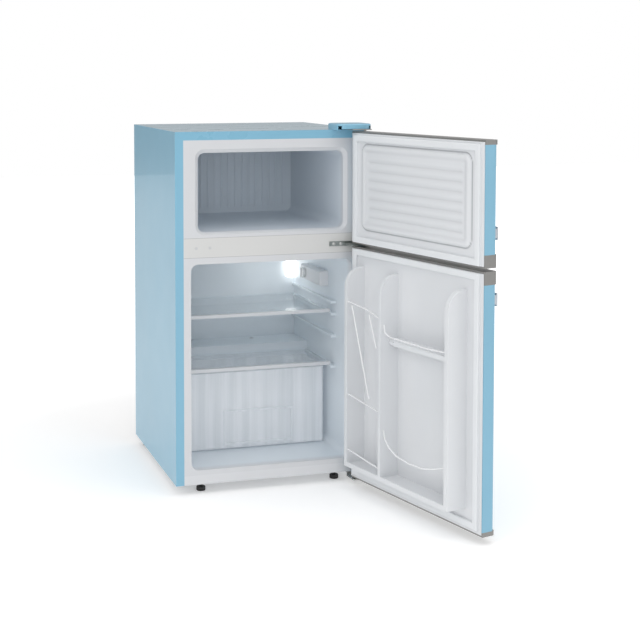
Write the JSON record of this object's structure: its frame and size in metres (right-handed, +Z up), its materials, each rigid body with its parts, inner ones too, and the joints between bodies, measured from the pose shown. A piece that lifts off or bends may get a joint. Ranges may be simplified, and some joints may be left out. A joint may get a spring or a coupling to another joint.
{
  "type": "top freezer refrigerator",
  "caption": "Compact upright refrigerator with a small freezer above, hinged doors standing open, glass shelves, crisper drawer and rear condenser.",
  "frame": {"origin": "middle of the cabinet's footprint at floor level", "axes": "+Z up, -Y towards the front that the doors close on, +X towards the hinge side"},
  "size_m": [0.5836, 0.9578, 0.873],
  "materials": {
    "blue_enamel": "gloss",
    "galvanised": "satin",
    "white_liner": "satin",
    "white_trim": "satin",
    "silver_cap": "satin",
    "handle_metal": "satin",
    "gasket": "matte",
    "foam": "matte",
    "shelf_glass": "gloss",
    "crisper": "gloss",
    "hinge_steel": "satin",
    "black_plastic": "matte",
    "black_enamel": "satin",
    "rubber_black": "matte",
    "copper": "satin",
    "evap_metal": "satin",
    "lens": "gloss",
    "bulb": "gloss",
    "white_wire": "gloss",
    "white_plastic": "matte"
  },
  "bodies": {
    "cabinet": {"left_side_panel": "blue_enamel", "right_side_panel": "blue_enamel", "top_panel": "blue_enamel", "back_panel": "galvanised", "bottom_panel": "galvanised", "freezer_liner": "white_liner", "fridge_liner": "white_liner", "mullion_cover": "white_trim", "front_sill": "white_trim", "mullion_plugs": "white_plastic", "evaporator_plates": "evap_metal", "cabinet_foam": "foam", "drain_tube": "white_plastic", "thermostat_housing": "white_trim", "thermostat_switch": "black_plastic", "lamp_lens": "lens", "lamp_bulb": "bulb", "top_hinge_bracket": "hinge_steel", "top_hinge_cover": "blue_enamel", "middle_hinge": "hinge_steel", "bottom_hinge": "hinge_steel", "hinge_screws": "hinge_steel", "foot_nuts": "hinge_steel", "rear_feet": "black_plastic", "base_pan": "galvanised", "compressor": "black_enamel", "compressor_grommets": "rubber_black", "compressor_bolts": "hinge_steel", "start_relay_box": "black_plastic", "drip_tray": "black_plastic", "condenser": "black_enamel", "filter_drier": "copper", "refrigerant_lines": "copper", "cord_gland": "black_plastic"},
    "upper_shelf": {"upper_shelf_glass": "shelf_glass", "upper_shelf_trim": "white_trim"},
    "lower_shelf": {"lower_shelf_glass": "shelf_glass", "lower_shelf_trim": "white_trim"},
    "crisper": {"crisper_drawer": "crisper"},
    "knob": {"thermostat_knob": "white_plastic"},
    "left_foot": {"front_foot_left": "black_plastic"},
    "right_foot": {"front_foot_right": "black_plastic"},
    "freezer_door": {"freezer_door_skin": "blue_enamel", "freezer_door_bottom_cap": "silver_cap", "freezer_door_top_cap": "silver_cap", "freezer_door_bushes": "white_plastic", "freezer_door_foam": "foam", "freezer_door_gasket": "gasket", "freezer_door_handle": "handle_metal", "freezer_door_liner": "white_liner"},
    "fridge_door": {"fridge_door_skin": "blue_enamel", "fridge_door_bottom_cap": "silver_cap", "fridge_door_top_cap": "silver_cap", "fridge_door_bushes": "white_plastic", "fridge_door_foam": "foam", "fridge_door_gasket": "gasket", "fridge_door_handle": "handle_metal", "fridge_door_liner": "white_liner", "door_wires": "white_wire"}
  },
  "joints": [
    {"name": "freezer_door_hinge", "type": "hinge", "parent": "cabinet", "child": "freezer_door", "pos_m": [0.221, -0.263, 0.72], "axis": [0, 0, 1], "range_deg": [-103.8, 26.2]},
    {"name": "fridge_door_hinge", "type": "hinge", "parent": "cabinet", "child": "fridge_door", "pos_m": [0.221, -0.263, 0.3], "axis": [0, 0, 1], "range_deg": [-103.8, 26.2]},
    {"name": "upper_shelf_slide", "type": "slide", "parent": "cabinet", "child": "upper_shelf", "axis": [0, -1, 0], "range_m": [0, 0.14]},
    {"name": "lower_shelf_slide", "type": "slide", "parent": "cabinet", "child": "lower_shelf", "axis": [0, -1, 0], "range_m": [0, 0.14]},
    {"name": "crisper_slide", "type": "slide", "parent": "cabinet", "child": "crisper", "axis": [0, -1, 0], "range_m": [0, 0.16]},
    {"name": "thermostat_turn", "type": "hinge", "parent": "cabinet", "child": "knob", "pos_m": [0.168, 0.032, 0.4745], "axis": [-1, 0, 0], "range_deg": [0, 270]},
    {"name": "left_foot_screw", "type": "slide", "parent": "cabinet", "child": "left_foot", "axis": [0, 0, -1], "range_m": [0, 0.012]},
    {"name": "right_foot_screw", "type": "slide", "parent": "cabinet", "child": "right_foot", "axis": [0, 0, -1], "range_m": [0, 0.012]}
  ]
}
